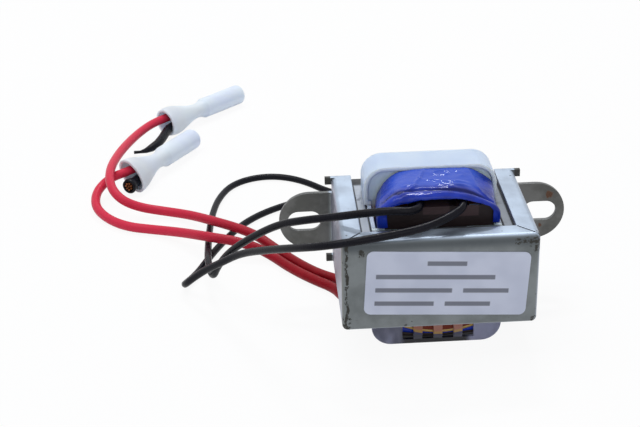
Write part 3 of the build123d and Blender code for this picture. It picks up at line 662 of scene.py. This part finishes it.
# Ridges over the crown as a line in x and y, height and width in millimetres
CREASES = [
    ([(-1.6, 2.4), (-2.3, -0.4), (-4.8, -6.2), (-7.1, -8.6)], 0.16, 0.3),
    ([(7.8, 2.4), (8.4, 0.1), (9.2, -4.9), (10.5, -6.6), (12.1, -7.4)], 0.16, 0.3),
    ([(-0.3, -0.2), (0.6, -0.9), (2.4, -1.1), (3.8, -0.6)], 0.14, 0.26),
    ([(-0.2, 0.2), (1.2, 0.9), (3.0, 1.0), (4.2, 0.2)], 0.12, 0.26),
    ([(-2.1, -3.1), (-0.4, -3.6), (1.5, -4.3), (4.2, -4.5), (7.2, -4.6)], 0.16, 0.28),
    ([(0.9, -4.9), (3.2, -5.7), (5.6, -6.2), (7.4, -5.6)], 0.13, 0.26),
    ([(0.4, -5.6), (1.8, -6.5), (4.5, -7.6)], 0.12, 0.26),
    ([(-6.9, -5.5), (-3.6, -6.0)], 0.1, 0.3),
    ([(-2.2, 0.8), (-3.2, -2.0), (-2.9, -3.2)], 0.1, 0.24),
    ([(4.9, 1.4), (6.9, -0.6), (6.3, -2.4)], 0.12, 0.26),
    ([(-10.8, -2.0), (-9.8, -5.0), (-10.6, -7.6)], 0.04, 0.6),
    ([(11.2, 0.8), (11.6, -2.6), (12.3, -5.2)], 0.03, 0.45),
]
GROOVE = (
    [(-8.6, -8.5), (-6.1, -8.0), (-3.5, -7.7), (0.2, -8.0), (5.0, -8.6), (10.2, -8.2), (12.4, -7.8)], -0.42, 0.42
)


def sag(x):
    """How far the tape hangs below the flat bottom of its profile, in millimetres."""
    return 0.45 * math.cos(math.pi * x / 16) if abs(x) < 8 else 0.0


def tape_outline(share):
    """Points round the tape's profile between rear and front, as x, z and outward normal, always as many."""
    corners = [
        (Vector(a[:2]).lerp(Vector(b[:2]), share), a[2] + (b[2] - a[2]) * share)
        for a, b in zip(REAR_CORNERS, FRONT_CORNERS)
    ]
    count = len(corners)
    starts, ends = [], []
    for index, (here, bend) in enumerate(corners):
        starts.append(here + (corners[index - 1][0] - here).normalized() * bend)
        ends.append(here + (corners[(index + 1) % count][0] - here).normalized() * bend)
    points = []
    for index, (here, bend) in enumerate(corners):
        for k in range(CORNER_STEPS):
            t = k / CORNER_STEPS
            points.append(starts[index].lerp(here, t).lerp(here.lerp(ends[index], t), t))
        after = starts[(index + 1) % count]
        for k in range(SIDE_STEPS[index]):
            points.append(ends[index].lerp(after, k / SIDE_STEPS[index]))
    for point in points:
        if point.y < 2.6:
            point.y -= sag(point.x)
    outline = []
    for k, point in enumerate(points):
        along = points[(k + 1) % len(points)] - points[k - 1]
        outline.append((point.x, point.y, -along.y / along.length, along.x / along.length))
    return outline


def from_line(x, y, line):
    """Distance from a point to a polyline, and the share of the way along it."""
    best, share = 1e9, 0.0
    runs = len(line) - 1
    for index, (first, second) in enumerate(zip(line, line[1:])):
        a, b = Vector(first), Vector(second)
        t = max(0.0, min(1.0, (Vector((x, y)) - a).dot(b - a) / (b - a).length_squared))
        gap = (Vector((x, y)) - a.lerp(b, t)).length
        if gap < best:
            best, share = gap, (index + t) / runs
    return best, share


def wrinkle(x, y, z):
    """How far the tape stands out at a point, in millimetres."""
    rise = max(0.0, min(1.0, (z - 30.5) / 3))
    if rise == 0.0:
        return 0.0
    out = 0.09 * noise.noise(Vector((x * 0.3, y * 0.4, z * 0.3)))
    out += 0.035 * noise.noise(Vector((x * 0.9, y * 1.3, z * 0.9 + 7)))
    left = x - (-2.0 + 0.6 * (y - 1.0))
    out -= 0.09 * max(0.0, min(4.0, -left))
    right = x - (8.2 - 0.2 * (y - 0.5))
    out -= 0.07 * max(0.0, min(3.0, right))
    for line, height, width in CREASES:
        gap, share = from_line(x, y, line)
        if gap > 4 * width:
            continue
        beads = 1.25 + 0.6 * noise.noise(Vector((share * 6, height * 90, 3.0)))
        fade = min(1.0, 5 * share + 0.2, 5 * (1 - share) + 0.2)
        out += 1.3 * height * beads * fade * math.exp(-(gap / (1.35 * width)) ** 2)
    line, depth, width = GROOVE
    gap, _ = from_line(x, y, line)
    out += depth * math.exp(-(gap / width) ** 2)
    return rise * out


def along_opening(share):
    """A point of the visor's edge, at a share of the way round the opening."""
    lengths = [0.0]
    for first, second in zip(OPENING, OPENING[1:]):
        lengths.append(lengths[-1] + (Vector(second) - Vector(first)).length)
    target = share * lengths[-1]
    index = 0
    while index < len(OPENING) - 2 and lengths[index + 1] < target:
        index += 1
    part = (target - lengths[index]) / (lengths[index + 1] - lengths[index])
    return Vector(OPENING[index]).lerp(Vector(OPENING[index + 1]), part)


def build_tape():
    """Blue tape wound round the secondary, creased over the crown, with its visor above the leads."""
    mesh = bmesh.new()
    rows = []
    for row in range(TAPE_ROWS + 1):
        outline = tape_outline(row / TAPE_ROWS)
        y = TAPE_REAR + (TAPE_FRONT - TAPE_REAR) * row / TAPE_ROWS
        ring = []
        for x, z, nx, nz in outline:
            out = wrinkle(x, y, z)
            ring.append(mesh.verts.new(Vector((x + nx * out, y, z + nz * out)) * MM))
        rows.append(ring)
    skin(mesh, rows, closed=False)
    top = [k for k, point in enumerate(outline) if point[1] > VISOR_FOOT]
    reach = [0.0]
    for first, second in zip(top, top[1:]):
        reach.append(reach[-1] + (Vector(outline[second][:2]) - Vector(outline[first][:2])).length)
    last = [rows[-1][k] for k in top]
    strands = []
    for k, gone in zip(top, reach):
        start = rows[-1][k].co / MM
        end = along_opening(gone / reach[-1])
        end.y += 0.1 * noise.noise(Vector((gone * 0.5, 0.0, 4.0)))
        end.z += 0.12 * noise.noise(Vector((gone * 0.7, 2.0, 4.0)))
        normal = Vector((outline[k][2], 0, outline[k][3]))
        bulge = 0.3 + max(0.0, normal.x) * 1.3
        first = start + normal * bulge + Vector((0, -1.4, 0))
        second = end + Vector((start.x - end.x, 0, start.z - end.z)) * 0.62 + Vector((0, -0.1, 0))
        strands.append((start, first, second, end))
    for row in range(1, VISOR_ROWS + 1):
        t = row / VISOR_ROWS
        ring = []
        for start, first, second, end in strands:
            place = start * (1 - t) ** 3 + first * 3 * t * (1 - t) ** 2 + second * 3 * t * t * (1 - t) + end * t ** 3
            place.z += 0.1 * math.sin(math.pi * t) * noise.noise(Vector((place.x * 0.35, place.y * 1.6, 9.0)))
            ring.append(mesh.verts.new(place * MM))
        for k in range(len(top) - 1):
            mesh.faces.new((last[k], last[k + 1], ring[k + 1], ring[k]))
        last = ring
    piece = mesh_piece("wound_tape", mesh)
    sheet = piece.modifiers.new("sheet", "SOLIDIFY")
    sheet.thickness = TAPE_SHEET * MM
    sheet.offset = -1
    finish_piece(piece, "blue_tape", "secondary_tape")


# Strips behind the comb: reach along X, place along Y and steps
STRIP_LEFT, STRIP_RIGHT = -7.8, 9.0
STRIP_FRONT, STRIP_REAR = -8.88, -8.8
STRIP_STEPS = 32


def edge_strip(name, slot, span):
    """Thin upright strip behind the comb, between the two heights that span gives for each place along X."""
    mesh = bmesh.new()
    sections = []
    for index in range(STRIP_STEPS + 1):
        x = STRIP_LEFT + (STRIP_RIGHT - STRIP_LEFT) * index / STRIP_STEPS
        low, high = span(x)
        corners = ((STRIP_FRONT, low), (STRIP_FRONT, high), (STRIP_REAR, high), (STRIP_REAR, low))
        sections.append([mesh.verts.new(Vector((x, y, z)) * MM) for y, z in corners])
    skin(mesh, sections)
    finish_piece(mesh_piece(name, mesh), slot)


def build_tape_edges():
    """Edges of the pale tape and the blue layers under it, seen through the comb, and below them a dark strip that
    is painted shade.
    """
    def rise(x):
        return WRAP_CURVE * (x - WRAP_MIDDLE) ** 2

    edge_strip("inner_wrap", "inner_tape", lambda x: (WRAP_LOW + rise(x), WRAP_LOW + rise(x) + WRAP_EDGE))
    edge_strip("blue_layers", "blue_tape", lambda x: (BLUE_LOW + BLUE_SHARE * rise(x), WRAP_LOW + rise(x)))
    # This dark strip stands for the shade below the blue layers: painted shade.
    edge_strip("shadow_strip", "insulating_sheet", lambda x: (TAPE_BOTTOM - sag(x), BLUE_LOW + BLUE_SHARE * rise(x)))


def build_stub_end():
    """Cut end of the lower stub: swollen insulation with a ragged rim round its strands."""
    start, end = STUB_2_END
    heading = (end - start).normalized()
    mesh = bmesh.new()
    side, up = across(heading)
    length = (end - start).length
    profile = [
        (0.0, 1.45), (2.5, 1.5), (length - 3.0, 1.55), (length - 1.8, 1.85), (length - 0.7, 2.1),
        (length - 0.1, 2.05), (length + 0.15, 1.85), (length + 0.1, 1.6), (length - 0.3, 1.35), (length - 1.0, 1.25),
    ]
    around = 28
    rings = []
    for along, radius in profile:
        ring = []
        for k in range(around):
            angle = 2 * math.pi * k / around
            ragged = 1 + 0.07 * noise.noise(Vector((math.cos(angle) * 1.5, math.sin(angle) * 1.5, along * 0.6)))
            offset = (side * math.cos(angle) + up * math.sin(angle)) * radius * ragged
            ring.append(mesh.verts.new((start + heading * along + offset) * MM))
        rings.append(ring)
    skin(mesh, rings)
    piece = mesh_piece("swollen_stub", mesh)
    finish_piece(piece, "black_insulation", "cut_lead_2")
    return piece


def build_upper_stub():
    """Upper stub, thinning to a shred of insulation at the cut."""
    mesh = bmesh.new()
    add_tube(mesh, [Vector(point[:3]) for point in UPPER_STUB], [point[3] for point in UPPER_STUB], 16)
    piece = mesh_piece("upper_stub", mesh)
    finish_piece(piece, "black_insulation", "cut_lead_1")
    return piece


# Lamps as name, place, aim, width, depth in metres and power in watts
LAMPS = [
    ("top_light", (-0.24, 0.05, 0.66), (-0.02, 0.03, 0.0), 0.4, 0.4, 1.7),
    ("back_light", (0.03, 0.45, 0.68), (0.0, 0.0, 0.03), 0.18, 0.07, 1.8),
    ("front_light", (0.15, -0.8, 0.55), (-0.02, 0.0, 0.02), 0.5, 0.5, 0.9),
]


def build_studio():
    """White floor that keeps a faint shadow, with a painted shadow under the body, white surroundings and soft light
    from above.
    """
    bpy.ops.mesh.primitive_plane_add(size=6, location=(0, 0, -0.0001))
    floor = bpy.context.object
    floor.name = "floor"
    look = Look("floor_white", 1.0)
    look.set("Specular IOR Level", 0.0)
    # A dark patch under the body is a painted shadow; the floor glows less there so that the patch shows.
    under = look.calc(
        "MULTIPLY",
        look.band(look.axis("X"), -10.5 * MM, 11.0 * MM, 1.2 * MM),
        look.band(look.axis("Y"), -8.8 * MM, 9.6 * MM, 0.9 * MM),
    )
    look.set("Base Color", look.mix(under, (0.86, 0.87, 0.9), (0.1, 0.1, 0.11)))
    rays = look.new("ShaderNodeLightPath")
    seen = look.most(rays.outputs["Is Camera Ray"], rays.outputs["Is Glossy Ray"])
    seen = look.most(seen, rays.outputs["Is Transmission Ray"])
    glow = look.new("ShaderNodeEmission")
    blend = look.new("ShaderNodeMixShader")
    look.join(look.times(seen, look.step(under, 0.0, 1.0, 0.92, 0.02)), blend.inputs["Fac"])
    look.join(look.shader.outputs[0], blend.inputs[1])
    look.join(glow.outputs[0], blend.inputs[2])
    look.join(blend.outputs[0], look.tree.nodes["Material Output"].inputs["Surface"])
    floor.data.materials.append(look.material)

    world = bpy.data.worlds.new("studio")
    scene.world = world
    world.use_nodes = True
    tree = world.node_tree
    tree.nodes.clear()
    output = tree.nodes.new("ShaderNodeOutputWorld")
    soft = tree.nodes.new("ShaderNodeBackground")
    soft.inputs["Color"].default_value = (0.95, 0.97, 1.0, 1)
    soft.inputs["Strength"].default_value = 0.42
    white = tree.nodes.new("ShaderNodeBackground")
    white.inputs["Color"].default_value = (1, 1, 1, 1)
    rays = tree.nodes.new("ShaderNodeLightPath")
    seen = rays.outputs["Is Camera Ray"]
    for kind in ("Is Glossy Ray", "Is Transmission Ray"):
        either = tree.nodes.new("ShaderNodeMath")
        either.operation = "MAXIMUM"
        tree.links.new(seen, either.inputs[0])
        tree.links.new(rays.outputs[kind], either.inputs[1])
        seen = either.outputs[0]
    blend = tree.nodes.new("ShaderNodeMixShader")
    tree.links.new(seen, blend.inputs["Fac"])
    tree.links.new(soft.outputs[0], blend.inputs[1])
    tree.links.new(white.outputs[0], blend.inputs[2])
    tree.links.new(blend.outputs[0], output.inputs["Surface"])

    for name, place, aim, wide, deep, power in LAMPS:
        data = bpy.data.lights.new(name, "AREA")
        data.shape = "RECTANGLE"
        data.size = wide
        data.size_y = deep
        data.energy = power
        lamp = bpy.data.objects.new(name, data)
        scene.collection.objects.link(lamp)
        lamp.location = place
        lamp.rotation_euler = (Vector(aim) - Vector(place)).to_track_quat("-Z", "Y").to_euler()


random.seed(5)
scene.view_settings.view_transform = "Standard"
place_camera()
red_1 = lead("flying_red_lead_1", RED_1, RED_LEAD, "red_insulation")
red_2 = lead("flying_red_lead_2", RED_2, RED_LEAD, "red_insulation")
black_1 = lead("flying_black_lead_1", BLACK_1, BLACK_LEAD, "black_insulation")
black_2 = lead("flying_black_lead_2", BLACK_2, BLACK_LEAD, "black_insulation")
build_tape()
build_tape_edges()
stub_end = build_stub_end()
upper_stub = build_upper_stub()

tips = bmesh.new()
for route in (BLACK_1, BLACK_2):
    end = Vector(route[-1])
    heading = (end - Vector(route[-2])).normalized()
    add_strands(tips, end - heading * 0.6, heading, 5.4, 0.36, 0.19, 7, 0.8, 0.15)
tinned = mesh_piece("tinned_strands", tips)
finish_piece(tinned, "tinned_copper", "tinned_ends")

cut = bmesh.new()
start, end = STUB_2_END
heading = (end - start).normalized()
add_strands(cut, end - heading * 1.4, heading, 1.7, 0.75, 0.3, 8, 0.15, 0.25)
start, end = (Vector(point[:3]) for point in UPPER_STUB[5:7])
add_strands(cut, start, end - start, 2.2, 0.4, 0.2, 7, 0.15, 0.1)
strands = mesh_piece("cut_copper", cut)
finish_piece(strands, "bare_copper", "cut_strands")

build_studio()
